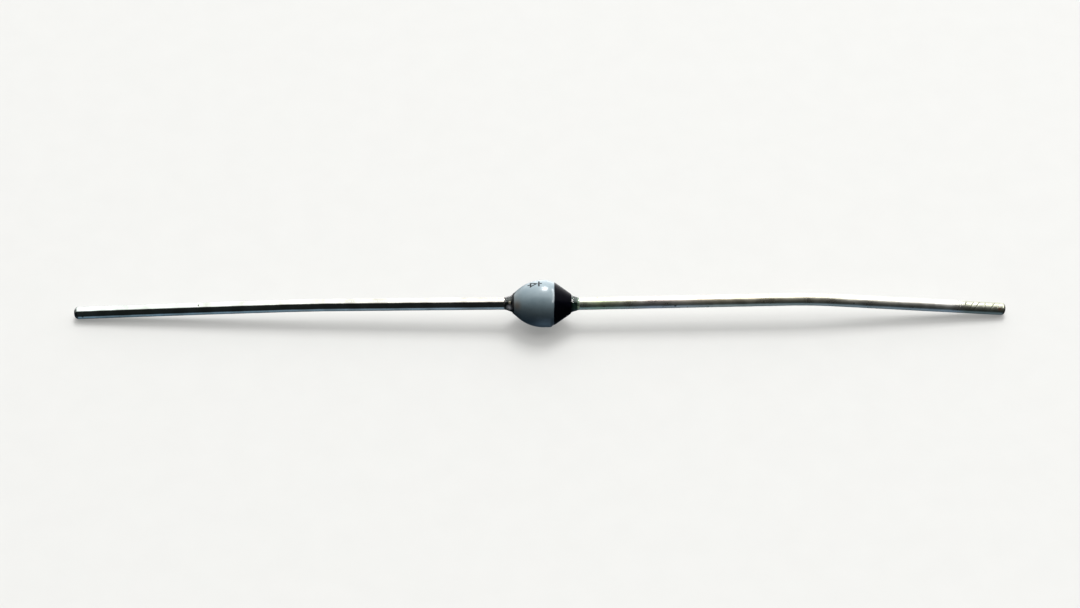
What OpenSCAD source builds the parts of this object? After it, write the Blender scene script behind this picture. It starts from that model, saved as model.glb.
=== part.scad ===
// Rectifier diode with two axial wire leads, sealed in a sintered glass bead.
// It lies at rest on a flat surface: the bead and both lead tips touch that surface.
// Millimetres, +Z up. The bead's axis runs along X, with the cathode towards +X. The origin
// is on the surface, straight below the middle of the chip stack.

/* [Chip stack] */
// Diameter of the silicon die at its cathode face
die_d = 1.4; // [1:0.05:1.6]
// Thickness of the silicon die
die_t = 0.3; // [0.2:0.01:0.5]
// How far the die's etched edge leans in towards its anode face
die_bevel = 0.08; // [0.02:0.01:0.2]
// Thickness of the braze layer on each face of the die
braze_t = 0.05; // [0.03:0.01:0.1]
// Diameter of the molybdenum slugs
slug_d = 1.5; // [1.2:0.05:1.7]
// Length of each slug
slug_l = 1; // [0.6:0.05:1.2]

/* [Glass bead] */
// Diameter of the glass at its widest point
glass_d = 2.98; // [2.7:0.01:3.4]
// How far that point lies from the middle of the chip stack, towards the cathode
widest_x = 0.15; // [0:0.05:0.3]
// Radius of the barrel curve on the anode side
anode_crown_r = 2.45; // [2:0.05:2.8]
// Radius of the barrel curve on the cathode side
cathode_crown_r = 1.55; // [1:0.05:2]
// Slope of the straight flank on the anode side, in degrees
anode_slope = 40; // [34:1:42]
// Slope of the straight flank on the cathode side, in degrees
cathode_slope = 35; // [30:1:42]
// Radius of the hollow where the glass runs out on the anode lead
anode_hollow_r = 0.925; // [0.6:0.025:1.1]
// Radius of the hollow where the glass runs out on the cathode lead
cathode_hollow_r = 1.1; // [0.8:0.05:1.4]
// Thickness of the glass at the end of each neck
neck_edge_t = 0.04; // [0.02:0.01:0.1]

/* [Paint] */
// Thickness of the grey body lacquer
coat_t = 0.045; // [0.03:0.005:0.08]
// Thickness of the black cathode band
band_t = 0.05; // [0.03:0.005:0.08]
// Width of the cathode band
band_w = 1.07; // [0.6:0.01:1.3]
// Glass left bare at the anode neck
anode_bare_l = 0.48; // [0.2:0.01:0.8]
// Glass left bare at the cathode neck
cathode_bare_l = 0.53; // [0.2:0.01:0.8]

/* [Lead wire] */
// Diameter of the tinned copper wire
lead_d = 0.81; // [0.6:0.01:1]
// Straight wire that stands out of each neck before the first bend
stub_l = 0.1; // [0.1:0.05:1]
// How far the wire swells where it is bent
bend_swell = 0.006; // [0.004:0.001:0.015]

/* [Anode lead] */
// Wire from the bend at the neck to the middle bend
anode_run_l = 12.4; // [8:0.1:16]
// Wire from the middle bend to the round tip
anode_end_l = 15.1; // [12:0.1:18]
// Bend at the neck, in degrees
anode_neck_bend = 1.3; // [0.5:0.1:2]
// Way that bend points, in degrees: 0 is down, 90 is back
anode_neck_way = 10; // [0:5:110]

/* [Cathode lead] */
// Wire from the bend at the neck to the middle bend
cathode_run_l = 14.9; // [8:0.1:16]
// Wire from the middle bend to the round tip
cathode_end_l = 12.4; // [12:0.1:18]
// Bend at the neck, in degrees
cathode_neck_bend = 1.7; // [0.5:0.1:2]
// Way that bend points, in degrees: 0 is down, 90 is back
cathode_neck_way = 100; // [0:5:110]

/* [Hidden] */
$fn = 96;
// Which way along the axis each end lies
anode_side = -1;
cathode_side = 1;
lead_r = lead_d / 2;
glass_r = glass_d / 2;
axis_z = glass_r + coat_t;
// The slugs' outer ends, where the leads are welded on
stack_end = die_t / 2 + braze_t + slug_l;
die_top_r = die_d / 2 - die_bevel;
// Curves that run into each other overlap by this much, so that they cross cleanly
arc_lap = 0.001;
// The flatter of the two barrel curves runs over the top, and the tighter one then takes over
flat_side = anode_crown_r > cathode_crown_r ? anode_side : cathode_side;
flat_crown_r = max(anode_crown_r, cathode_crown_r);
tight_crown_r = min(anode_crown_r, cathode_crown_r);
neck_end_r = lead_r + neck_edge_t;
// Distances from the middle of the chip stack to the ends of the necks
anode_neck = side_reach(anode_crown_r, anode_slope, anode_hollow_r) - widest_x;
cathode_neck = side_reach(cathode_crown_r, cathode_slope, cathode_hollow_r) + widest_x;
coat_start = -anode_neck + anode_bare_l;
band_end = cathode_neck - cathode_bare_l;
band_start = band_end - band_w;
// Height that each lead loses between the neck and its tip
tip_drop = axis_z - lead_r;

// Length of a flank that runs straight from the barrel curve to the hollow
function flank_l(crown_r, slope, hollow_r) =
  (glass_r - neck_end_r - (crown_r + hollow_r) * (1 - cos(slope))) / sin(slope);
// Distance along the axis from the widest point to the end of a neck
function side_reach(crown_r, slope, hollow_r) =
  (crown_r + hollow_r) * sin(slope) + flank_l(crown_r, slope, hollow_r) * cos(slope);

// How fast a lead falls after its neck bend, and how upright its own frame then stands
function run_fall(bend, way) = sin(bend) * cos(way);
function run_upright(bend, way) = pow(sin(way), 2) + pow(cos(way), 2) * cos(bend);
// Middle bend that brings the tip down onto the surface
function droop(bend, way, run_l, end_l) =
  let (fall = run_fall(bend, way), upright = run_upright(bend, way))
  asin((tip_drop - run_l * fall) / (end_l * norm([fall, upright]))) - atan2(fall, upright);

// Half section of a disc that starts at a distance to one side of the bead's middle:
// radius along X, bead axis along Y
module disc_section(side, start, radius, length) {
  translate([0, side > 0 ? start : -start - length]) square([radius, length]);
}

// Half section of the barrel, grown outwards by a skin of paint
module crown_section(skin_t) {
  translate([0, widest_x]) intersection() {
    translate([glass_r - flat_crown_r, 0]) circle(r = flat_crown_r + skin_t);
    translate([0, -flat_crown_r]) square([glass_d, 2 * flat_crown_r]);
    union() {
      translate([glass_r - tight_crown_r + arc_lap, 0]) circle(r = tight_crown_r + skin_t);
      disc_section(flat_side, 0, glass_d, flat_crown_r);
    }
  }
}

// Half section of a straight flank and of the neck beyond it, before the hollow is cut
module flank_section(side, crown_r, slope, hollow_r, skin_t) {
  reach = side_reach(crown_r, slope, hollow_r);
  start_r = crown_r + skin_t - arc_lap;
  end_r = hollow_r - skin_t + arc_lap;
  start = [glass_r - crown_r + start_r * cos(slope), start_r * sin(slope)];
  end = [neck_end_r + hollow_r - end_r * cos(slope), reach - end_r * sin(slope)];
  corners = [
    [0, side * start[1]],
    [start[0], side * start[1]],
    [end[0], side * end[1]],
    [0, side * end[1]]
  ];
  translate([0, widest_x]) {
    // The corners run anticlockwise on both sides
    polygon([for (i = [0 : 3]) corners[side > 0 ? i : 3 - i]]);
    disc_section(side, 0, end[0], reach);
  }
}

module hollow_section(neck, hollow_r, skin_t) {
  translate([neck_end_r + hollow_r, neck]) circle(r = hollow_r - skin_t + 2 * arc_lap);
}

// Half section of the bead, grown outwards by a skin of paint
module bead_section(skin_t = 0) {
  difference() {
    union() {
      crown_section(skin_t);
      flank_section(anode_side, anode_crown_r, anode_slope, anode_hollow_r, skin_t);
      flank_section(cathode_side, cathode_crown_r, cathode_slope, cathode_hollow_r, skin_t);
    }
    hollow_section(-anode_neck, anode_hollow_r, skin_t);
    hollow_section(cathode_neck, cathode_hollow_r, skin_t);
  }
}

// Half section of the die, narrowest at its anode face
module die_section() {
  polygon([
    [0, -die_t / 2],
    [die_top_r, -die_t / 2],
    [die_d / 2, die_t / 2],
    [0, die_t / 2]
  ]);
}

module braze_section(side, face_r) {
  disc_section(side, die_t / 2, face_r, braze_t);
}

module slug_section(side) {
  disc_section(side, die_t / 2 + braze_t, slug_d / 2, slug_l);
}

// Half section of all that the glass is sintered onto
module stack_section() {
  die_section();
  braze_section(cathode_side, die_d / 2);
  slug_section(cathode_side);
  braze_section(anode_side, die_top_r);
  slug_section(anode_side);
  translate([0, -anode_neck - stub_l])
    square([lead_r, anode_neck + cathode_neck + 2 * stub_l]);
}

// Turns a half section about the bead's axis, at the height where the bead lies
module turned() {
  translate([0, 0, axis_z]) rotate([0, 90, 0]) rotate_extrude() children();
}

// Coat of paint on the bead between two places along its axis
module painted_skin(skin_t, from, to) {
  turned() intersection() {
    difference() {
      bead_section(skin_t);
      bead_section();
    }
    translate([0, from]) square([glass_d, to - from]);
  }
}

module straight_wire(length) {
  rotate([0, 90, 0]) cylinder(r = lead_r, h = length);
}

// Straight wire that ends in a round tip
module tip_wire(length) {
  rotate([0, 90, 0]) rotate_extrude() {
    square([lead_r, length]);
    translate([0, length]) intersection() {
      circle(r = lead_r);
      square(lead_r);
    }
  }
}

// Bends what follows downwards, with a ball of metal that fills the bend. The ball's poles
// lie along the wire, inside it.
module bent_down(angle) {
  union() {
    rotate([0, 90, 0]) sphere(r = lead_r + bend_swell);
    rotate([0, angle, 0]) children();
  }
}

// Bends what follows towards a way that is turned back from straight down
module bent(angle, way) {
  rotate([way, 0, 0]) bent_down(angle) rotate([-way, 0, 0]) children();
}

// One lead along +X, from the slug through its neck to the tip
module lead(neck, bend, way, run_l, end_l) {
  first_l = neck + stub_l - stack_end;
  color("#b4b1aa")
  translate([stack_end, 0, axis_z]) union() {
    straight_wire(first_l);
    translate([first_l, 0, 0]) bent(bend, way) union() {
      straight_wire(run_l);
      translate([run_l, 0, 0])
        bent_down(droop(bend, way, run_l, end_l)) tip_wire(end_l);
    }
  }
}

module glass_bead() {
  color("#4c6357") turned() difference() {
    bead_section();
    stack_section();
  }
}

module body_coat() {
  color("#808d94") painted_skin(coat_t, coat_start, band_start);
}

module cathode_band() {
  color("#0d0e13") painted_skin(band_t, band_start, band_end);
}

module anode_lead() {
  mirror([1, 0, 0])
    lead(anode_neck, anode_neck_bend, anode_neck_way, anode_run_l, anode_end_l);
}

module cathode_lead() {
  lead(cathode_neck, cathode_neck_bend, cathode_neck_way, cathode_run_l, cathode_end_l);
}

module anode_slug() {
  color("#8d9095") turned() slug_section(anode_side);
}

module cathode_slug() {
  color("#8d9095") turned() slug_section(cathode_side);
}

module anode_braze() {
  color("#c8cace") turned() braze_section(anode_side, die_top_r);
}

module cathode_braze() {
  color("#c8cace") turned() braze_section(cathode_side, die_d / 2);
}

module silicon_die() {
  color("#3d4150") turned() die_section();
}

glass_bead();
body_coat();
cathode_band();
anode_lead();
cathode_lead();
anode_slug();
cathode_slug();
anode_braze();
cathode_braze();
silicon_die();
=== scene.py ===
import math

import bpy
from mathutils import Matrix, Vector


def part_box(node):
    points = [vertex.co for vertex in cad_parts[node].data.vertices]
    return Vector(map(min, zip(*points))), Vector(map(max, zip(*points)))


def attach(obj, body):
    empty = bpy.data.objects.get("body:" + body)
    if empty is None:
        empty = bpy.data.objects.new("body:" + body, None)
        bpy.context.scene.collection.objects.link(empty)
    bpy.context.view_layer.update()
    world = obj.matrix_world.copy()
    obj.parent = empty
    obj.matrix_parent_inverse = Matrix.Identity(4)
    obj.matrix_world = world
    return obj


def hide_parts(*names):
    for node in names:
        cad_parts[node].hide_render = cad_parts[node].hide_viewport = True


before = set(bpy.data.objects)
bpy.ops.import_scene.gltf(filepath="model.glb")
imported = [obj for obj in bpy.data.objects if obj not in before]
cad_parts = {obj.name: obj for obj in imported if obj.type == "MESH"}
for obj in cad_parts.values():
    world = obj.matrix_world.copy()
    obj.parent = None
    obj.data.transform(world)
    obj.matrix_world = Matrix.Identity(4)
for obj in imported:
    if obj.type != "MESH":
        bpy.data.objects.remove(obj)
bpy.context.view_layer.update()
scene = bpy.context.scene
scene.view_settings.view_transform = "Standard"  # whites stay white, darks stay dark
mm = 0.001  # pieces are drawn in millimetres and brought to metres when they are finished
smoothUpTo = 35  # degrees, edges that turn further stay sharp
coatLow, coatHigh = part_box("body_coat")
axisHeight = (coatLow.z + coatHigh.z) / 2 / mm
print("frame loaded, bead axis", round(axisHeight, 3), "mm above the table")


# camera
cameraView = {
    "elevation": 45,  # degrees above the table
    "roll": 0.21,  # degrees, the right end sits a little lower in the picture
    "distance": 200,  # mm from the bead
    "pictureWidth": 69.8,  # mm across the picture at the bead
    "aim": (-0.065, -0.018, -0.018),  # mm from the middle of the bead
    "sensor": 36,  # mm
    "clip": (0.001, 50),  # m, the nearest and farthest that is drawn
}

tilt = math.radians(cameraView["elevation"])
aim = Vector(cameraView["aim"]) + Vector((0, 0, axisHeight))
back = Vector((0, -math.cos(tilt), math.sin(tilt))) * cameraView["distance"]
bpy.ops.object.select_all(action="DESELECT")
bpy.ops.object.camera_add(location=(aim + back) * mm)
camera = bpy.context.active_object
camera.name = "camera"
camera.rotation_mode = "ZYX"  # the roll is turned first, about the line of sight
camera.rotation_euler = (math.pi / 2 - tilt, 0, math.radians(cameraView["roll"]))
camera.data.sensor_width = cameraView["sensor"]
camera.data.lens = cameraView["sensor"] * cameraView["distance"] / cameraView["pictureWidth"]
camera.data.clip_start, camera.data.clip_end = cameraView["clip"]
camera.data.dof.use_dof = False
scene.camera = camera
print("camera placed")


# studio light: a softbox behind, in a tent that is white overhead and behind, dark in front
# power in watts, sizes and places in metres
backLight = {"power": 18, "colour": "#ffffff", "size": (0.5, 0.7), "place": (0.16, 0.86, 1.31)}
sideLight = {"power": 8.5, "colour": "#ffffff", "size": (1.6, 0.14), "place": (0.85, 0.15, 0.83)}
tent = {
    "strength": 2.1,
    "stops": [  # degrees round the bead's axis from the front horizon, by way of the top
        (-180, "#ffffff"), (-156, "#ffffff"), (-141, "#2b343d"), (-95, "#2b343d"), (-75, "#65788a"),
        (-37, "#65788a"), (-29, "#15191a"), (73, "#191a1b"), (83, "#ffffff"), (180, "#ffffff")],
    "sideways": (0.08, 0.4, 0.95),  # middle, then where it starts and ends to darken to the sides
    "narrower": 2.6,  # below the table it darkens this much sooner
    "narrowAt": -0.3,  # height of the direction where that is reached, 0 is the horizon
    "sideTone": 0.08,  # share of the light that is left at the sides
}


def srgb(hexColour):
    channels = [int(hexColour[i:i + 2], 16) / 255 for i in (1, 3, 5)]
    linear = [c / 12.92 if c <= 0.04045 else ((c + 0.055) / 1.055) ** 2.4 for c in channels]
    return (*linear, 1)


def addLight(name, light):
    bpy.ops.object.light_add(type="AREA", location=light["place"])
    lamp = bpy.context.active_object
    lamp.name = name
    lamp.rotation_euler = (-lamp.location).to_track_quat("-Z", "Y").to_euler()  # faces the bead
    lamp.data.shape = "RECTANGLE"
    lamp.data.size, lamp.data.size_y = light["size"]
    lamp.data.energy = light["power"]
    lamp.data.color = srgb(light["colour"])[:3]
    return lamp


# adds a node with its settings and links; stops are a colour ramp's (place, colour) pairs
def addNode(tree, kind, inputs=None, stops=None, **settings):
    node = tree.nodes.new(kind)
    for name, value in settings.items():
        setattr(node, name, value)
    for name, value in (inputs or {}).items():
        if isinstance(value, bpy.types.NodeSocket):
            tree.links.new(value, node.inputs[name])
        else:
            node.inputs[name].default_value = value
    for i, (place, colour) in enumerate(stops or []):
        ramp = node.color_ramp.elements
        if i > 1:
            ramp.new(place)
        ramp[i].position = place
        ramp[i].color = srgb(colour)
    return node


addLight("backLight", backLight)
sideLamp = addLight("sideLight", sideLight)
sideLamp.visible_diffuse = False  # it draws highlights only
room = bpy.data.worlds.new("room")
room.use_nodes = True
tree = room.node_tree
outward = addNode(tree, "ShaderNodeSeparateXYZ", {
    "Vector": addNode(tree, "ShaderNodeTexCoord").outputs["Generated"]})
front = addNode(tree, "ShaderNodeMath", {0: outward.outputs["Y"], 1: -1.0}, operation="MULTIPLY")
turn = addNode(tree, "ShaderNodeMath", {0: outward.outputs["Z"], 1: front.outputs[0]},
               operation="ARCTAN2")
share = addNode(tree, "ShaderNodeMapRange", {
    "Value": turn.outputs[0], "From Min": -math.pi, "From Max": math.pi})
tentTone = addNode(tree, "ShaderNodeValToRGB", {"Fac": share.outputs[0]},
                   [((degrees + 180) / 360, colour) for degrees, colour in tent["stops"]])
middle, fadeFrom, fadeTo = tent["sideways"]
aside = addNode(tree, "ShaderNodeMath", {0: outward.outputs["X"], 1: middle}, operation="SUBTRACT")
asideBy = addNode(tree, "ShaderNodeMath", {0: aside.outputs[0]}, operation="ABSOLUTE")
narrow = addNode(tree, "ShaderNodeMapRange", {
    "Value": outward.outputs["Z"], "From Min": tent["narrowAt"], "From Max": 0,
    "To Min": tent["narrower"], "To Max": 1})
spread = addNode(tree, "ShaderNodeMath", {0: asideBy.outputs[0], 1: narrow.outputs[0]},
                 operation="MULTIPLY")
fade = addNode(tree, "ShaderNodeMapRange", {
    "Value": spread.outputs[0], "From Min": fadeFrom, "From Max": fadeTo,
    "To Min": 1.0, "To Max": tent["sideTone"]})
faded = addNode(tree, "ShaderNodeVectorMath", {0: tentTone.outputs[0], "Scale": fade.outputs[0]},
                operation="SCALE")
tree.links.new(faded.outputs[0], tree.nodes["Background"].inputs["Color"])
tree.nodes["Background"].inputs["Strength"].default_value = tent["strength"]
scene.world = room
print("lights placed")


def newMaterial(name):
    material = bpy.data.materials.new(name)
    material.use_nodes = True
    material.node_tree.nodes.clear()
    return material, material.node_tree


def closeMaterial(tree, shader):
    addNode(tree, "ShaderNodeOutputMaterial", {"Surface": shader.outputs[0]})


# a round mark on a surface: full inside the first distance, gone at the second
def addStain(tree, place, under, stain):
    middle, (full, gone), strength, colour = stain
    apart = addNode(tree, "ShaderNodeVectorMath", {
        0: place, 1: [m * mm for m in middle]}, operation="DISTANCE")
    share = addNode(tree, "ShaderNodeMapRange", {
        "Value": apart.outputs["Value"], "From Min": full * mm, "From Max": gone * mm,
        "To Min": strength, "To Max": 0})
    return addNode(tree, "ShaderNodeMix", {
        0: share.outputs[0], 6: under, 7: srgb(colour)}, data_type="RGBA").outputs[2]


# pieces are drawn at the origin with the bead's axis along X
def selectOnly(piece):
    bpy.ops.object.select_all(action="DESELECT")
    piece.select_set(True)
    bpy.context.view_layer.objects.active = piece


def turnPiece(name, outline, segments):
    bpy.ops.object.select_all(action="DESELECT")
    bpy.ops.mesh.primitive_plane_add(size=1)
    piece = bpy.context.active_object
    piece.name = piece.data.name = name
    bpy.ops.object.mode_set(mode="EDIT")
    bpy.ops.mesh.select_all(action="SELECT")
    bpy.ops.mesh.merge(type="CENTER")  # one point, from which the half section is drawn
    bpy.ops.transform.translate(value=(outline[0][0], 0, outline[0][1]))
    for (x, r), (nextX, nextR) in zip(outline, outline[1:]):
        step = (nextX - x, 0, nextR - r)
        bpy.ops.mesh.extrude_region_move(TRANSFORM_OT_translate={"value": step})
    bpy.ops.mesh.select_all(action="SELECT")
    bpy.ops.mesh.spin(steps=segments, angle=2 * math.pi, center=(0, 0, 0), axis=(1, 0, 0))
    bpy.ops.mesh.select_all(action="SELECT")
    bpy.ops.mesh.remove_doubles(threshold=0.0004)  # closes the seam and the points on the axis
    bpy.ops.mesh.normals_make_consistent(inside=False)
    bpy.ops.object.mode_set(mode="OBJECT")
    return piece


# weight from 1 at one place along the axis to 0 at another, for a modifier
def fadeGroup(piece, name, fullX, noneX):
    group = piece.vertex_groups.new(name=name)
    for vertex in piece.data.vertices:
        weight = (vertex.co.x - noneX) / (fullX - noneX)
        group.add([vertex.index], min(1, max(0, weight)), "REPLACE")


def rippleSurface(piece, name, size, depth, middle, direction="NORMAL", group=""):
    ripple = bpy.data.textures.new(name, "CLOUDS")
    ripple.noise_scale = size
    modifier = piece.modifiers.new(name, "DISPLACE")
    modifier.texture = ripple
    modifier.texture_coords = "LOCAL"
    modifier.direction = direction
    modifier.strength = depth
    modifier.mid_level = middle
    modifier.vertex_group = group


def finishPiece(piece, material, node, raised):
    selectOnly(piece)
    for modifier in list(piece.modifiers):
        bpy.ops.object.modifier_apply(modifier=modifier.name)
    piece.vertex_groups.clear()
    piece.location = (0, 0, raised * mm)
    piece.scale = (mm, mm, mm)
    bpy.ops.object.transform_apply(location=True, rotation=True, scale=True)
    bpy.ops.object.shade_smooth_by_angle(angle=math.radians(smoothUpTo))
    piece.data.materials.clear()
    piece.data.materials.append(material)
    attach(piece, "root")
    if node:
        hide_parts(node)
    print(piece.name, "finished,", len(piece.data.polygons), "faces")


# the bead's shape, shared by the glass and the paint on it
bead = {
    "segments": 144,
    "innerCoarser": 3,  # the hidden walls of the paint have this many times fewer rings
    "widest": (0.15, 1.49),  # place along the axis, radius of the glass there
    "leadRadius": 0.405,
    "neckRadius": 0.445,
    # radius of the barrel curve, angle of the flank, radius of the hollow, where the neck ends
    "anode": {"crown": 2.45, "slope": 40, "hollow": 0.925, "neck": 2.32378},
    "cathode": {"crown": 1.55, "slope": 35, "hollow": 1.1, "neck": 2.47796},
}


# a barrel curve, then a straight flank, then a hollow that runs out on the lead
def beadRadius(x, skin=0):
    widestX, widest = bead["widest"]
    side = bead["anode" if x < widestX else "cathode"]
    slope = math.radians(side["slope"])
    crown, hollow = side["crown"] + skin, side["hollow"] - skin
    fromWidest, fromEnd = abs(x - widestX), side["neck"] - abs(x)
    if fromWidest < crown * math.sin(slope):
        return widest - side["crown"] + math.sqrt(crown ** 2 - fromWidest ** 2)
    if fromEnd < hollow * math.sin(slope):
        return bead["neckRadius"] + side["hollow"] - math.sqrt(hollow ** 2 - fromEnd ** 2)
    flankTop = widest - side["crown"] + crown * math.cos(slope)
    return flankTop - (fromWidest - crown * math.sin(slope)) * math.tan(slope)


def beadLine(fromX, toX, skin, spacing):
    count = max(1, round(abs(toX - fromX) / spacing))
    places = [fromX + (toX - fromX) * i / count for i in range(count + 1)]
    return [(x, beadRadius(x, skin)) for x in places]


# chip stack: silicon die, braze layers and slugs, hidden under the paint
stack = {
    "segments": 96,
    "dieHalf": 0.15,  # half of its thickness
    "dieTop": 0.62,  # radius on the anode side
    "dieBottom": 0.70,  # radius on the cathode side
    "dieBreak": 0.008,  # its edges are etched slightly round
    "brazeEnd": 0.20,
    "brazeWaist": 0.012,  # the braze draws in this deep between its faces
    "brazeBow": 0.012,  # and does most of it this close to them
    "slugEnd": 1.20,
    "slugRadius": 0.75,
    "slugChamfer": 0.03,
}

# pressed and sintered molybdenum rod, turned: grey, with fine rings round it
molybdenum, tree = newMaterial("turnedMolybdenum")
place = addNode(tree, "ShaderNodeTexCoord").outputs["Object"]
stretch = addNode(tree, "ShaderNodeMapping", {"Vector": place, "Scale": (1, 0.08, 0.08)})
rings = addNode(tree, "ShaderNodeTexNoise", {
    "Vector": stretch.outputs[0], "Scale": 1 / (0.06 * mm), "Detail": 3})  # rings 0.06 mm apart
grain = addNode(tree, "ShaderNodeTexNoise", {
    "Vector": place, "Scale": 1 / (0.15 * mm), "Detail": 4})  # pressed grain, 0.15 mm
tone = addNode(tree, "ShaderNodeValToRGB", {"Fac": grain.outputs["Fac"]},
               [(0.3, "#7d8288"), (0.7, "#9a9ea3")])
shine = addNode(tree, "ShaderNodeMapRange", {
    "Value": rings.outputs["Fac"], "To Min": 0.28, "To Max": 0.48})
relief = addNode(tree, "ShaderNodeBump", {
    "Height": rings.outputs["Fac"], "Strength": 0.4, "Distance": 0.01 * mm})
closeMaterial(tree, addNode(tree, "ShaderNodeBsdfPrincipled", {
    "Base Color": tone.outputs[0], "Metallic": 1.0, "Roughness": shine.outputs[0],
    "Normal": relief.outputs[0]}))

# aluminium foil melted between die and slug: bright, with a frozen crystal grain
aluminiumBraze, tree = newMaterial("meltedAluminiumBraze")
place = addNode(tree, "ShaderNodeTexCoord").outputs["Object"]
crystals = addNode(tree, "ShaderNodeTexVoronoi", {
    "Vector": place, "Scale": 1 / (0.12 * mm)})  # crystals 0.12 mm
tone = addNode(tree, "ShaderNodeValToRGB", {"Fac": crystals.outputs["Distance"]},
               [(0.1, "#d4d6d9"), (0.8, "#aeb2b8")])
relief = addNode(tree, "ShaderNodeBump", {
    "Height": crystals.outputs["Distance"], "Strength": 0.3, "Distance": 0.01 * mm})
closeMaterial(tree, addNode(tree, "ShaderNodeBsdfPrincipled", {
    "Base Color": tone.outputs[0], "Metallic": 1.0, "Roughness": 0.42,
    "Normal": relief.outputs[0]}))

# silicon, sawn and etched: dark blue-grey mirror with etch pits on its edge
etchedSilicon, tree = newMaterial("etchedSilicon")
place = addNode(tree, "ShaderNodeTexCoord").outputs["Object"]
pits = addNode(tree, "ShaderNodeTexNoise", {
    "Vector": place, "Scale": 1 / (0.05 * mm), "Detail": 5})  # etch pits 0.05 mm
tone = addNode(tree, "ShaderNodeValToRGB", {"Fac": pits.outputs["Fac"]},
               [(0.35, "#3a4050"), (0.7, "#555b69")])
shine = addNode(tree, "ShaderNodeMapRange", {
    "Value": pits.outputs["Fac"], "To Min": 0.12, "To Max": 0.4})
relief = addNode(tree, "ShaderNodeBump", {
    "Height": pits.outputs["Fac"], "Strength": 0.3, "Distance": 0.006 * mm})
closeMaterial(tree, addNode(tree, "ShaderNodeBsdfPrincipled", {
    "Base Color": tone.outputs[0], "Metallic": 1.0, "Roughness": shine.outputs[0],
    "Normal": relief.outputs[0]}))

half, top, bottom, cut = (stack[k] for k in ("dieHalf", "dieTop", "dieBottom", "dieBreak"))
die = turnPiece("siliconDie", [
    (-half, 0), (-half, top * 0.5), (-half, top - cut), (-half + cut, top + cut / 4),
    (0, (top + bottom) / 2), (half - cut, bottom - cut / 4), (half, bottom - cut),
    (half, bottom * 0.5), (half, 0)], stack["segments"])
finishPiece(die, etchedSilicon, "silicon_die", axisHeight)

for side, label, faceRadius in ((-1, "anode", top), (1, "cathode", bottom)):
    start, end = stack["dieHalf"], stack["brazeEnd"]
    waist, bow = stack["brazeWaist"], stack["brazeBow"]
    drawnIn = faceRadius - waist * 0.7
    braze = turnPiece(label + "Braze", [
        (side * start, 0), (side * start, faceRadius), (side * (start + bow), drawnIn),
        (side * (start + end) / 2, faceRadius - waist), (side * (end - bow), drawnIn),
        (side * end, faceRadius), (side * end, 0)], stack["segments"])
    finishPiece(braze, aluminiumBraze, label + "_braze", axisHeight)
    start, end = stack["brazeEnd"], stack["slugEnd"]
    radius, chamfer = stack["slugRadius"], stack["slugChamfer"]
    slug = turnPiece(label + "Slug", [
        (side * start, 0), (side * start, radius - chamfer), (side * (start + chamfer), radius),
        (side * (start + end) / 2, radius), (side * (end - chamfer), radius),
        (side * end, radius - chamfer), (side * end, 0)], stack["segments"])
    finishPiece(slug, molybdenum, label + "_slug", axisHeight)
print("chip stack made")


# glass bead, sintered onto the stack, with a thin neck running out on each lead
glass = {
    "feather": 0.24,  # the necks thin out over this length
    "edge": 0.004,  # thickness left at their ends
    "grip": 0.01,  # inner walls lie this far inside the metal, so no air shows between
    "dieGrip": 0.03,  # deeper at the die, where the braze draws in
    "spacing": 0.035,
    "tones": ("#bcdcca", "#d3e8da"),
}

# zinc borosilicate glass, fire polished: clear with a faint green cast and seeds in it
passivationGlass, tree = newMaterial("firePolishedGlass")
place = addNode(tree, "ShaderNodeTexCoord").outputs["Object"]
flow = addNode(tree, "ShaderNodeTexNoise", {
    "Vector": place, "Scale": 1 / (0.5 * mm), "Detail": 2})  # slow flow lines, 0.5 mm
tone = addNode(tree, "ShaderNodeValToRGB", {"Fac": flow.outputs["Fac"]},
               [(0.3, glass["tones"][0]), (0.7, glass["tones"][1])])
relief = addNode(tree, "ShaderNodeBump", {
    "Height": flow.outputs["Fac"], "Strength": 0.15, "Distance": 0.02 * mm})
closeMaterial(tree, addNode(tree, "ShaderNodeBsdfPrincipled", {
    "Base Color": tone.outputs[0], "Roughness": 0.04, "IOR": 1.54,
    "Transmission Weight": 1.0, "Normal": relief.outputs[0]}))

anodeEnd, cathodeEnd = -bead["anode"]["neck"], bead["cathode"]["neck"]
grip = glass["grip"]
leadWall = bead["leadRadius"] - grip
slugWall = stack["slugRadius"] - grip
slugEnd = stack["slugEnd"] - grip
dieWall = stack["dieTop"] - glass["dieGrip"]
dieEnd = stack["brazeEnd"] + grip
neckEdge = bead["leadRadius"] + glass["edge"]
glassOutline = []
for x, r in beadLine(anodeEnd, cathodeEnd, 0, glass["spacing"]):
    fromEnd = min(1, min(x - anodeEnd, cathodeEnd - x) / glass["feather"])
    full = fromEnd * fromEnd * (3 - 2 * fromEnd)
    glassOutline.append((x, neckEdge + (r - neckEdge) * full))
glassOutline += [
    (cathodeEnd, leadWall), (slugEnd, leadWall), (slugEnd, slugWall), (dieEnd, slugWall),
    (dieEnd, dieWall), (-dieEnd, dieWall), (-dieEnd, slugWall), (-slugEnd, slugWall),
    (-slugEnd, leadWall), (anodeEnd, leadWall), glassOutline[0]]
glassBead = turnPiece("glassBead", glassOutline, bead["segments"])
finishPiece(glassBead, passivationGlass, "glass_bead", axisHeight)


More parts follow.
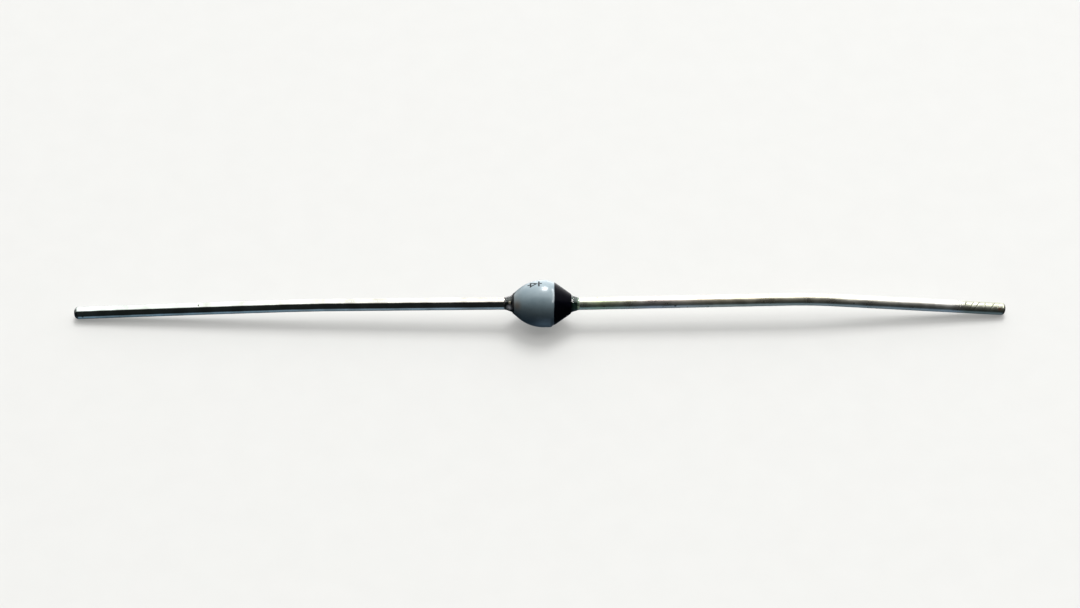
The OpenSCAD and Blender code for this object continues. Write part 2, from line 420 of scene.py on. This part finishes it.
# grey lacquer on the bead
coat = {
    "fromX": -1.84378,
    "toX": 0.93,  # runs on a little under the black band
    "thickness": 0.045,
    "lip": 0.03,  # the lacquer's edge is rounded over this length
    "rim": 0.008,  # height of the edge itself
    "spacing": 0.04,
    "peelSize": 0.55,  # slow unevenness of the lacquer
    "peelDepth": 0.006,
    "edgeWander": 0.03,  # how far the edge strays
    "wanderSize": 0.45,
    "wanderReach": 0.25,  # how far in from the edge it is felt
    "tones": ("#7b8d95", "#87989f"),
    "dustTone": "#4c565d",
    "browningTone": "#857564",
    "browning": (-1.2, -1.75),  # along the axis: where it starts to turn brownish, is brownest
    "marginShadeTone": "#0f1418",
    "margin": (-1.725, -1.745),  # where the painted shade at the margin starts, is full
    "brushed": (0.1, 0.6),  # where brush marks start, are full
    "fray": 0.16,  # how ragged specks and stains are
    "stains": [  # place, reach and strength of a round mark, then its colour: a brownish patch, then a dark streak at the top of the margin
        ((-1.5, -0.7, axisHeight + 0.49), (0.08, 0.42), 0.5, "#86715c"),
        ((-1.77, 0.11, axisHeight + 0.64), (0.06, 0.1), 0.95, "#101418"),
        ((-1.72, 0.2, axisHeight + 0.66), (0.06, 0.1), 0.95, "#101418"),
        ((-1.67, 0.26, axisHeight + 0.68), (0.05, 0.09), 0.95, "#101418"),
        ((-1.62, 0.31, axisHeight + 0.7), (0.03, 0.07), 0.95, "#101418")],
    "sag": (0.28, 0.64, 0.815),  # where the lacquer starts to gather, is thickest, ends
    "sagDepth": 0.055,
    "sagFacing": 225,  # degrees round the axis
}

# solvent lacquer, dipped: slate grey gloss, brownish in clouds towards its margin, with painted
# shade along the margin
greyLacquer, tree = newMaterial("dippedGreyLacquer")
place = addNode(tree, "ShaderNodeTexCoord").outputs["Object"]
along = addNode(tree, "ShaderNodeSeparateXYZ", {"Vector": place}).outputs["X"]
cloud = addNode(tree, "ShaderNodeTexNoise", {
    "Vector": place, "Scale": 1 / (0.9 * mm), "Detail": 3})  # pigment clouds, 0.9 mm
peel = addNode(tree, "ShaderNodeTexNoise", {
    "Vector": place, "Scale": 1 / (0.16 * mm), "Detail": 2})  # orange peel, 0.16 mm
ragged = addNode(tree, "ShaderNodeTexNoise", {
    "Vector": place, "Scale": 1 / (0.1 * mm), "Detail": 3})  # ragged edges, 0.1 mm
frayed = addNode(tree, "ShaderNodeVectorMath", {
    0: ragged.outputs["Color"], 1: [coat["fray"] * mm] * 3, 2: place}, operation="MULTIPLY_ADD")
frayedPlace = addNode(tree, "ShaderNodeVectorMath", {
    0: frayed.outputs[0], 1: [coat["fray"] / 2 * mm] * 3}, operation="SUBTRACT").outputs[0]
specks = addNode(tree, "ShaderNodeTexVoronoi", {
    "Vector": frayedPlace, "Scale": 1 / (0.35 * mm)})  # dust in the lacquer, 0.35 mm apart
tone = addNode(tree, "ShaderNodeValToRGB", {"Fac": cloud.outputs["Fac"]},
               [(0.3, coat["tones"][0]), (0.7, coat["tones"][1])])
browningFrom, browningTo = coat["browning"]
browning = addNode(tree, "ShaderNodeMapRange", {
    "Value": along, "From Min": browningFrom * mm, "From Max": browningTo * mm,
    "To Min": 0, "To Max": 0.45})
browningPatch = addNode(tree, "ShaderNodeMath", {0: browning.outputs[0], 1: cloud.outputs["Fac"]},
                    operation="MULTIPLY")
warm = addNode(tree, "ShaderNodeMix", {
    0: browningPatch.outputs[0], 6: tone.outputs[0], 7: srgb(coat["browningTone"])}, data_type="RGBA")
dust = addNode(tree, "ShaderNodeMapRange", {
    "Value": specks.outputs["Distance"], "From Min": 0.05, "From Max": 0.09,
    "To Min": 0.35, "To Max": 0})
dusty = addNode(tree, "ShaderNodeMix", {
    0: dust.outputs[0], 6: warm.outputs[2], 7: srgb(coat["dustTone"])}, data_type="RGBA")
# painted shade: a dark ring along the lacquer's edge stands in for the shade there
marginShadeFrom, marginShadeTo = coat["margin"]
margin = addNode(tree, "ShaderNodeMapRange", {
    "Value": along, "From Min": marginShadeFrom * mm, "From Max": marginShadeTo * mm,
    "To Min": 0, "To Max": 0.95})
marginShaded = addNode(tree, "ShaderNodeMix", {
    0: margin.outputs[0], 6: dusty.outputs[2], 7: srgb(coat["marginShadeTone"])}, data_type="RGBA")
colour = marginShaded.outputs[2]
for stain in coat["stains"]:
    colour = addStain(tree, frayedPlace, colour, stain)
shine = addNode(tree, "ShaderNodeMapRange", {
    "Value": peel.outputs["Fac"], "To Min": 0.26, "To Max": 0.4})
relief = addNode(tree, "ShaderNodeBump", {
    "Height": peel.outputs["Fac"], "Strength": 0.25, "Distance": 0.006 * mm})
stretch = addNode(tree, "ShaderNodeMapping", {"Vector": place, "Scale": (1, 0.12, 0.12)})
bristles = addNode(tree, "ShaderNodeTexNoise", {
    "Vector": stretch.outputs[0], "Scale": 1 / (0.12 * mm), "Detail": 2})  # brush marks, 0.12 mm
brushedFrom, brushedTo = coat["brushed"]
brushed = addNode(tree, "ShaderNodeMapRange", {
    "Value": along, "From Min": brushedFrom * mm, "From Max": brushedTo * mm,
    "To Min": 0, "To Max": 1})
brushHeight = addNode(tree, "ShaderNodeMath", {0: bristles.outputs["Fac"], 1: brushed.outputs[0]},
                      operation="MULTIPLY")
brushMarks = addNode(tree, "ShaderNodeBump", {
    "Height": brushHeight.outputs[0], "Strength": 0.7, "Distance": 0.01 * mm})
closeMaterial(tree, addNode(tree, "ShaderNodeBsdfPrincipled", {
    "Base Color": colour, "Roughness": shine.outputs[0], "IOR": 1.52,
    "Specular IOR Level": 0.3, "Coat Weight": 0.6, "Coat Roughness": 0.14, "Coat IOR": 1.5,
    "Normal": relief.outputs[0], "Coat Normal": brushMarks.outputs[0]}))


# the rounded edge of a coat of paint, from inside the glass up to nearly its full thickness
def paintLip(edge, inward, paint):
    lip, skin = paint["lip"], paint["thickness"]
    steps = [(0, -grip), (0, paint["rim"]), (0.15, skin * 0.55), (0.45, skin * 0.86)]
    return [(edge + inward * lip * share, beadRadius(edge, height)) for share, height in steps]


coatEdge, coatEnd = coat["fromX"], coat["toX"]
coatStart = coatEdge + coat["lip"]
coatOutline = paintLip(coatEdge, 1, coat)
coatOutline += beadLine(coatStart, coatEnd, coat["thickness"], coat["spacing"])
coatOutline += beadLine(coatEnd, coatStart, -grip, coat["spacing"] * bead["innerCoarser"])
coatOutline.append(coatOutline[0])
bodyCoat = turnPiece("bodyCoat", coatOutline, bead["segments"])
fadeGroup(bodyCoat, "margin", coatEdge, coatEdge + coat["wanderReach"])
rippleSurface(bodyCoat, "lacquerMargin", coat["wanderSize"], coat["edgeWander"], 0.5, "X", "margin")
rippleSurface(bodyCoat, "lacquerPeel", coat["peelSize"], -coat["peelDepth"], 0)
sag = bodyCoat.vertex_groups.new(name="sag")  # lacquer that gathered low before it dried
sagFrom, sagTop, sagTo = coat["sag"]
for vertex in bodyCoat.data.vertices:
    x, y, z = vertex.co
    rise = min((x - sagFrom) / (sagTop - sagFrom), (sagTo - x) / (sagTo - sagTop))
    facing = math.cos(math.atan2(z, y) - math.radians(coat["sagFacing"]))
    if rise > 0 and facing > 0:
        sag.add([vertex.index], (3 - 2 * rise) * rise * rise * facing ** 3, "REPLACE")
gathered = bodyCoat.modifiers.new("gathered", "DISPLACE")
gathered.strength = coat["sagDepth"]
gathered.mid_level = 0
gathered.vertex_group = "sag"


# polarity symbol, a triangle against a bar, printed behind the top of the bead
mark = {
    "middle": (-0.55, 0.36),  # mm along the axis, mm behind it
    "triangle": 0.35,  # from its middle to a corner
    "line": 0.1,  # width of the strokes
    "bar": 0.6,
    "tail": 0.14,
    "gap": 0.008,  # between strokes, too fine to show
    "film": 0.006,  # ink, half of it sunk in the lacquer
    "above": 2,  # drawn flat at this height over the axis, then laid down on the bead
    "cuts": 12,  # fine enough to follow the bead
    "tones": ("#05090c", "#121a1f"),
}

# pad-printing ink: dull blue-black, thin where the pad lifted early
printInk, tree = newMaterial("padPrintedInk")
place = addNode(tree, "ShaderNodeTexCoord").outputs["Object"]
lift = addNode(tree, "ShaderNodeTexNoise", {
    "Vector": place, "Scale": 1 / (0.12 * mm), "Detail": 3})  # patchy film, 0.12 mm
tone = addNode(tree, "ShaderNodeValToRGB", {"Fac": lift.outputs["Fac"]},
               [(0.35, mark["tones"][0]), (0.7, mark["tones"][1])])
shine = addNode(tree, "ShaderNodeMapRange", {
    "Value": lift.outputs["Fac"], "To Min": 0.45, "To Max": 0.65})
closeMaterial(tree, addNode(tree, "ShaderNodeBsdfPrincipled", {
    "Base Color": tone.outputs[0], "Roughness": shine.outputs[0], "IOR": 1.5,
    "Specular IOR Level": 0.2}))


def addStroke(length, width, x):
    bpy.ops.object.select_all(action="DESELECT")
    bpy.ops.mesh.primitive_plane_add(size=1, location=(x, markY, mark["above"]))
    stroke = bpy.context.active_object
    stroke.scale = (length, width, 1)
    bpy.ops.object.transform_apply(location=True, rotation=True, scale=True)
    return stroke


markX, markY = mark["middle"]
reach, line, tail, gap = (mark[k] for k in ("triangle", "line", "tail", "gap"))
bpy.ops.object.select_all(action="DESELECT")
bpy.ops.mesh.primitive_circle_add(
    vertices=3, radius=reach, fill_type="NGON", location=(markX, markY, mark["above"]),
    rotation=(0, 0, -math.pi / 2))  # points to the cathode
polarityMark = bpy.context.active_object
polarityMark.name = polarityMark.data.name = "polarityMark"
bpy.ops.object.transform_apply(location=True, rotation=True, scale=True)
bpy.ops.object.mode_set(mode="EDIT")
bpy.ops.mesh.select_all(action="SELECT")
bpy.ops.mesh.inset(thickness=line)  # leaves an outline of even width
bpy.ops.mesh.delete(type="FACE")
bpy.ops.object.mode_set(mode="OBJECT")
barX = markX + reach + gap + line / 2
strokes = [addStroke(line, mark["bar"], barX),
           addStroke(tail, line, markX - reach / 2 - gap - tail / 2),
           addStroke(tail, line, barX + line / 2 + gap + tail / 2)]
selectOnly(polarityMark)
for stroke in strokes:
    stroke.select_set(True)
bpy.ops.object.join()
bpy.ops.object.mode_set(mode="EDIT")
bpy.ops.mesh.select_all(action="SELECT")
bpy.ops.mesh.subdivide(number_cuts=mark["cuts"])
bpy.ops.mesh.normals_make_consistent(inside=False)
bpy.ops.object.mode_set(mode="OBJECT")
wrap = polarityMark.modifiers.new("laidOn", "SHRINKWRAP")
wrap.target = bodyCoat
wrap.wrap_method = "PROJECT"
wrap.use_project_z = True
wrap.use_negative_direction = True
wrap.use_positive_direction = False
film = polarityMark.modifiers.new("film", "SOLIDIFY")
film.thickness = mark["film"]
film.offset = 0
finishPiece(polarityMark, printInk, None, axisHeight)
finishPiece(bodyCoat, greyLacquer, "body_coat", axisHeight)


# black cathode band, painted over the end of the grey lacquer
band = {
    "fromX": 0.87796,
    "toX": 1.94796,
    "thickness": 0.05,
    "lap": 0.045,  # how far it runs onto the grey lacquer
    "bite": 0.002,  # and how deep it sinks into it
    "lip": 0.03,
    "rim": 0.008,
    "spacing": 0.035,
    "edgeWander": 0.035,
    "wanderSize": 0.5,
    "wanderReach": 0.2,
    "tones": ("#04050b", "#0c0c14"),
}

# black lacquer, rolled on: deep gloss with faint marks round the bead
blackLacquer, tree = newMaterial("rolledBlackLacquer")
place = addNode(tree, "ShaderNodeTexCoord").outputs["Object"]
stretch = addNode(tree, "ShaderNodeMapping", {"Vector": place, "Scale": (1, 0.12, 0.12)})
rolled = addNode(tree, "ShaderNodeTexNoise", {
    "Vector": stretch.outputs[0], "Scale": 1 / (0.1 * mm), "Detail": 3})  # roller marks, 0.1 mm
peel = addNode(tree, "ShaderNodeTexNoise", {
    "Vector": place, "Scale": 1 / (0.3 * mm), "Detail": 2})  # slow unevenness, 0.3 mm
tone = addNode(tree, "ShaderNodeValToRGB", {"Fac": peel.outputs["Fac"]},
               [(0.3, band["tones"][0]), (0.75, band["tones"][1])])
shine = addNode(tree, "ShaderNodeMapRange", {
    "Value": rolled.outputs["Fac"], "To Min": 0.1, "To Max": 0.24})
relief = addNode(tree, "ShaderNodeBump", {
    "Height": rolled.outputs["Fac"], "Strength": 0.15, "Distance": 0.005 * mm})
closeMaterial(tree, addNode(tree, "ShaderNodeBsdfPrincipled", {
    "Base Color": tone.outputs[0], "Roughness": shine.outputs[0], "IOR": 1.5,
    "Specular IOR Level": 0.05, "Normal": relief.outputs[0]}))

bandEdge, bandEnd = band["fromX"] - band["lap"], band["toX"]
lip, skin = band["lip"], band["thickness"]
under = coat["thickness"] - band["bite"]
lapEnd = coat["toX"] - grip
bandOutline = [  # the edge on the lacquer is sharper than the one on the glass
    (bandEdge, beadRadius(bandEdge, under)),
    (bandEdge + lip * 0.1, beadRadius(bandEdge, skin * 0.95))]
bandOutline += beadLine(bandEdge + lip * 0.6, bandEnd - lip, skin, band["spacing"])
bandOutline += reversed(paintLip(bandEnd, -1, band))
bandOutline += beadLine(bandEnd - lip, lapEnd, -grip, band["spacing"] * bead["innerCoarser"])
bandOutline += beadLine(lapEnd, bandEdge + grip, under, band["spacing"])
bandOutline.append(bandOutline[0])
cathodeBand = turnPiece("cathodeBand", bandOutline, bead["segments"])
fadeGroup(cathodeBand, "bandEdge", bandEdge, bandEdge + band["wanderReach"])
rippleSurface(cathodeBand, "bandEdge", band["wanderSize"], band["edgeWander"], 0, "X", "bandEdge")
finishPiece(cathodeBand, blackLacquer, "cathode_band", axisHeight)
print("bead made")


# lead wires: a straight round blank with a domed end, then bent along its path
leadStock = {  # what both wires share
    "segments": 72,
    "domeRings": 12,
    "domePower": 0.8,  # below 1 the end is blunter than a half ball
    "spacing": 0.15,
    "rippleSize": 0.9,
    "oxideRoughness": 0.4,  # where oxide or dirt covers the tin
    "oxideMetallic": 0.5,  # it hides part of the metal
}
anodeWire = {
    "dome": 0.30,  # length of the rounded end
    "path": [(-1.2, 0, 1.535), (-2.4238, 0, 1.535), (-14.8206, 0.0489, 1.258),
             (-22.2, 0.0779, 0.8752), (-30.3007, 0.1099, 0.3911)],
    "bendReach": [0.6, 2.0, 4.8],  # each bend starts this far before its corner
    "endSpacing": 0.06,
    "endLength": 1.5,
    "rippleDepth": 0.010,
    "jawMarks": [],
    "toneReach": (-30.3, -2.3),  # along the axis, where the tones start and end
    "tones": [(0.0, "#c9d4cf"), (1.0, "#d3cfc6")],
    "roughness": (0.08, 0.16),
    "metallic": 1.0,
    "oxide": "#2b2629",  # colour under the glass
    "oxideReach": (2.4, 2.36),  # distance from the middle where it starts, is full
    "stains": [((-6.56, -0.216, 1.775), (0.03, 0.05), 0.8, "#2a2724"),
               ((-4.94, -0.222, 1.81), (0.03, 0.05), 0.8, "#2a2724"),
               ((-3.31, -0.228, 1.847), (0.04, 0.06), 0.8, "#2a2724")],
    # painted reflection: a pale patch and a pinkish one on the lead inside the glass neck
    "paintedReflections": [((-1.99, -0.39, 1.57), (0.06, 0.3), 0.9, "#e4cfe8"),
                         ((-2.0, -0.235, 1.865), (0.03, 0.12), 0.9, "#dcc0b4")],
}
cathodeWire = {
    "dome": 0.26,
    "path": [(1.2, 0, 1.535), (2.57796, 0, 1.535), (17.4714, 0.4353, 1.6118),
             (30.2102, 0.8076, 0.3796)],
    "bendReach": [0.6, 1.5],
    "endSpacing": 0.02,
    "endLength": 3.4,
    "rippleDepth": 0.012,
    "jawMarks": [  # place back from the tip, slant round the wire, depth
        (0.52, -0.12, 0.016), (0.93, -0.25, 0.028), (1.43, -0.08, 0.02), (1.95, -0.28, 0.028),
        (2.3, -0.22, 0.024), (2.72, -0.14, 0.024), (2.97, -0.2, 0.016)],
    "jaws": (112, 292),  # degrees round the wire
    "jawWidth": 0.07,  # from the middle of a dent to its edge
    "jawReach": 0.85,  # how far round the wire it runs, in radians to each side
    "toneReach": (2.4, 30.2),
    "tones": [(0.0, "#dfe3d4"), (0.05, "#d9e4bc"), (0.17, "#ece2df"), (0.33, "#f4ebd2"),
              (0.5, "#e2deca"), (0.885, "#deddd9"), (0.905, "#a8aa9a")],
    "roughness": (0.24, 0.37),
    "metallic": 0.82,
    "oxide": "#18322c",
    "oxideReach": (2.5, 2.28),
    "stains": [((29.78, 0.485, 0.68), (0.03, 0.16), 0.5, "#c08a62")],  # tin rubbed off the copper
    "paintedReflections": [],
}


def bendCurve(name, wire):
    corners = [Vector(p) for p in wire["path"]]
    bpy.ops.object.select_all(action="DESELECT")
    bpy.ops.curve.primitive_bezier_curve_add()
    curve = bpy.context.active_object
    curve.name = name
    points = [(corners[0], corners[1] - corners[0])]
    for before, corner, after, reach in zip(corners, corners[1:], corners[2:], wire["bendReach"]):
        inward, outward = (corner - before).normalized(), (after - corner).normalized()
        points.append((corner - inward * reach, inward * reach * 2 / 3))
        points.append((corner + outward * reach, outward * reach * 2 / 3))
    points.append((corners[-1], corners[-1] - corners[-2]))
    spline = curve.data.splines[0]
    spline.bezier_points.add(len(points) - 2)
    spline.resolution_u = 64
    for knot, (place, handle) in zip(spline.bezier_points, points):
        knot.handle_left_type = knot.handle_right_type = "FREE"
        knot.co, knot.handle_left, knot.handle_right = place, place - handle, place + handle
    knots = list(spline.bezier_points)
    for first, second in zip(knots[::2], knots[1::2]):  # straight runs between the bends
        third = (second.co - first.co) / 3
        first.handle_right, second.handle_left = first.co + third, second.co - third
    curve.data.twist_mode = "Z_UP"
    curve.data.use_deform_bounds = False
    return curve, spline.calc_length()


def drawWire(name, wire):
    curve, length = bendCurve(name + "Path", wire)
    radius, dome, endLength = bead["leadRadius"], wire["dome"], wire["endLength"]
    bpy.ops.object.select_all(action="DESELECT")
    bpy.ops.mesh.primitive_circle_add(
        vertices=leadStock["segments"], radius=radius, fill_type="NGON",
        rotation=(0, math.pi / 2, 0))
    piece = bpy.context.active_object
    piece.name = piece.data.name = name
    bpy.ops.object.transform_apply(location=True, rotation=True, scale=True)
    bpy.ops.object.mode_set(mode="EDIT")
    bpy.ops.mesh.select_all(action="SELECT")
    for runLength, spacing in ((length - endLength, leadStock["spacing"]),
                               (endLength - dome, wire["endSpacing"])):
        count = round(runLength / spacing)
        for _ in range(count):
            bpy.ops.mesh.extrude_region_move(
                TRANSFORM_OT_translate={"value": (runLength / count, 0, 0)})
    rings = leadStock["domeRings"]
    atX, atRadius = length - dome, radius
    for ring in range(1, rings + 1):
        turn = math.pi / 2 * ring / (rings + 1)
        nextX = length - dome + dome * math.sin(turn)
        nextRadius = radius * math.cos(turn) ** leadStock["domePower"]
        bpy.ops.mesh.extrude_region_move(
            TRANSFORM_OT_translate={"value": (nextX - atX, 0, 0)})
        shrink = nextRadius / atRadius
        bpy.ops.transform.resize(value=(1, shrink, shrink), center_override=(nextX, 0, 0))
        atX, atRadius = nextX, nextRadius
    bpy.ops.mesh.extrude_region_move(TRANSFORM_OT_translate={"value": (length - atX, 0, 0)})
    bpy.ops.mesh.merge(type="CENTER")
    bpy.ops.mesh.select_all(action="SELECT")
    bpy.ops.mesh.normals_make_consistent(inside=False)
    bpy.ops.object.mode_set(mode="OBJECT")
    return piece, curve, length


# weight of the dents that a tool's two jaws left, deepest along slanted lines
def jawGroup(piece, wire, length):
    group = piece.vertex_groups.new(name="jawMarks")
    width, reach = wire["jawWidth"], wire["jawReach"]
    deepest = max(depth for _, _, depth in wire["jawMarks"])
    weights = []
    for vertex in piece.data.vertices:
        x, y, z = vertex.co
        weight = 0
        for facing in wire["jaws"]:
            turn = math.atan2(z, y) - math.radians(facing)
            turn = math.atan2(math.sin(turn), math.cos(turn))
            inJaw = math.cos(min(1, abs(turn) / reach) * math.pi / 2)
            for fromTip, slant, depth in wire["jawMarks"]:
                off = min(1, abs(x - length + fromTip - slant * turn) / width)
                dent = (0.5 + 0.5 * math.cos(off * math.pi)) * inJaw ** 0.5
                weight = max(weight, dent * depth / deepest)
        weights.append(weight)
    for i, weight in enumerate(weights):
        group.add([i], weight, "REPLACE")
    dentDirtAndShade = piece.data.attributes.new("dent", "FLOAT", "POINT")  # the dents hold some dirt, and their darkening is also painted shade
    dentDirtAndShade.data.foreach_set("value", weights)
    return deepest


def makeLead(name, wire, material, node):
    piece, curve, length = drawWire(name, wire)
    if wire["jawMarks"]:
        dents = piece.modifiers.new("jawMarks", "DISPLACE")
        dents.strength = -jawGroup(piece, wire, length)
        dents.mid_level = 0
        dents.vertex_group = "jawMarks"
    rippleSurface(piece, name + "Ripple", leadStock["rippleSize"], -wire["rippleDepth"], 0)
    bend = piece.modifiers.new("bend", "CURVE")
    bend.object = curve
    bend.deform_axis = "POS_X"
    finishPiece(piece, material, node, 0)
    bpy.data.objects.remove(curve)


# copper wire, drawn and hot tinned: bright, with drawing lines and small bare or lumpy spots
def tinnedWire(name, wire):
    material, tree = newMaterial(name)
    place = addNode(tree, "ShaderNodeTexCoord").outputs["Object"]
    along = addNode(tree, "ShaderNodeSeparateXYZ", {"Vector": place}).outputs["X"]
    stretch = addNode(tree, "ShaderNodeMapping", {"Vector": place, "Scale": (0.12, 1, 1)})
    lines = addNode(tree, "ShaderNodeTexNoise", {  # drawing lines, coarser than real to show
        "Vector": stretch.outputs[0], "Scale": 1 / (0.09 * mm), "Detail": 4})
    patches = addNode(tree, "ShaderNodeTexNoise", {
        "Vector": place, "Scale": 1 / (1.1 * mm), "Detail": 4})  # thick and thin tin, 1.1 mm
    lumps = addNode(tree, "ShaderNodeTexVoronoi", {
        "Vector": place, "Scale": 1 / (0.9 * mm)})  # lumps about 0.9 mm apart
    toneFrom, toneTo = wire["toneReach"]
    zone = addNode(tree, "ShaderNodeMapRange", {
        "Value": along, "From Min": toneFrom * mm, "From Max": toneTo * mm})
    tint = addNode(tree, "ShaderNodeValToRGB", {"Fac": zone.outputs[0]}, wire["tones"])
    patchTone = addNode(tree, "ShaderNodeValToRGB", {"Fac": patches.outputs["Fac"]},
                        [(0.3, "#d2d0cc"), (0.65, "#ffffff")])
    tinned = addNode(tree, "ShaderNodeMix", {
        0: 1.0, 6: tint.outputs[0], 7: patchTone.outputs[0]},
        data_type="RGBA", blend_type="MULTIPLY")
    spot = addNode(tree, "ShaderNodeMapRange", {
        "Value": lumps.outputs["Distance"], "From Min": 0.05, "From Max": 0.10,
        "To Min": 0.8, "To Max": 0})
    spotted = addNode(tree, "ShaderNodeMix", {
        0: spot.outputs[0], 6: tinned.outputs[2], 7: srgb("#4a4640")}, data_type="RGBA")
    fromMiddle = addNode(tree, "ShaderNodeMath", {0: along}, operation="ABSOLUTE")
    oxideFrom, oxideTo = wire["oxideReach"]
    sealed = addNode(tree, "ShaderNodeMapRange", {
        "Value": fromMiddle.outputs[0], "From Min": oxideFrom * mm, "From Max": oxideTo * mm})
    hidden = sealed.outputs[0]
    stained = spotted.outputs[2]
    for stain in wire["stains"]:
        stained = addStain(tree, place, stained, stain)
    if wire["jawMarks"]:
        dents = addNode(tree, "ShaderNodeAttribute", attribute_name="dent")
        # dirt and painted shade: the dents are darkened and dulled
        dentDirtAndShadeMask = addNode(tree, "ShaderNodeMapRange", {
            "Value": dents.outputs["Fac"], "From Min": 0.15, "From Max": 0.7,
            "To Min": 0, "To Max": 0.9})
        stained = addNode(tree, "ShaderNodeMix", {
            0: dentDirtAndShadeMask.outputs[0], 6: stained, 7: srgb("#34372b")}, data_type="RGBA").outputs[2]
        hidden = addNode(tree, "ShaderNodeMath", {0: sealed.outputs[0], 1: dentDirtAndShadeMask.outputs[0]},
                         operation="MAXIMUM").outputs[0]
    colour = addNode(tree, "ShaderNodeMix", {
        0: sealed.outputs[0], 6: stained, 7: srgb(wire["oxide"])}, data_type="RGBA").outputs[2]
    for reflectionPatch in wire["paintedReflections"]:  # painted reflection: light patches on the lead under the glass stand in for light reflected there
        colour = addStain(tree, place, colour, reflectionPatch)
    smoothest, dullest = wire["roughness"]
    shine = addNode(tree, "ShaderNodeMapRange", {
        "Value": patches.outputs["Fac"], "From Min": 0.3, "From Max": 0.7,
        "To Min": smoothest, "To Max": dullest})
    dulled = addNode(tree, "ShaderNodeMix", {
        0: hidden, 2: shine.outputs[0], 3: leadStock["oxideRoughness"]})
    bare = addNode(tree, "ShaderNodeMapRange", {
        "Value": hidden, "To Min": wire["metallic"], "To Max": leadStock["oxideMetallic"]})
    fine = addNode(tree, "ShaderNodeBump", {
        "Height": lines.outputs["Fac"], "Strength": 0.2, "Distance": 0.006 * mm})
    lumpy = addNode(tree, "ShaderNodeBump", {
        "Height": spot.outputs[0], "Strength": 0.5, "Distance": 0.01 * mm,
        "Normal": fine.outputs[0]})
    closeMaterial(tree, addNode(tree, "ShaderNodeBsdfPrincipled", {
        "Base Color": colour, "Metallic": bare.outputs[0], "Roughness": dulled.outputs[0],
        "Normal": lumpy.outputs[0]}))
    return material


brightTin = tinnedWire("brightTinnedCopper", anodeWire)
handledTin = tinnedWire("handledTinnedCopper", cathodeWire)
makeLead("anodeLead", anodeWire, brightTin, "anode_lead")
makeLead("cathodeLead", cathodeWire, handledTin, "cathode_lead")
print("leads made")


# table: matt pale card
table = {"size": 12, "pale": ("#a0a09e", "#a2a2a0"), "glow": "#90908e"}
paleCard, tree = newMaterial("mattPaleCard")
place = addNode(tree, "ShaderNodeTexCoord").outputs["Object"]
fibres = addNode(tree, "ShaderNodeTexNoise", {
    "Vector": place, "Scale": 1 / (2 * mm), "Detail": 3})  # paper clouds, 2 mm
tone = addNode(tree, "ShaderNodeValToRGB", {"Fac": fibres.outputs["Fac"]},
               [(0.3, table["pale"][0]), (0.7, table["pale"][1])])
closeMaterial(tree, addNode(tree, "ShaderNodeBsdfPrincipled", {  # lit from below, for soft shadows
    "Base Color": tone.outputs[0], "Roughness": 0.7,
    "Emission Color": srgb(table["glow"]), "Emission Strength": 1}))
bpy.ops.object.select_all(action="DESELECT")
bpy.ops.mesh.primitive_plane_add(size=table["size"])
floor = bpy.context.active_object
floor.name = "floor"
floor.data.materials.append(paleCard)
floor.visible_diffuse = floor.visible_glossy = floor.visible_shadow = False  # throws no light back
print("table laid")
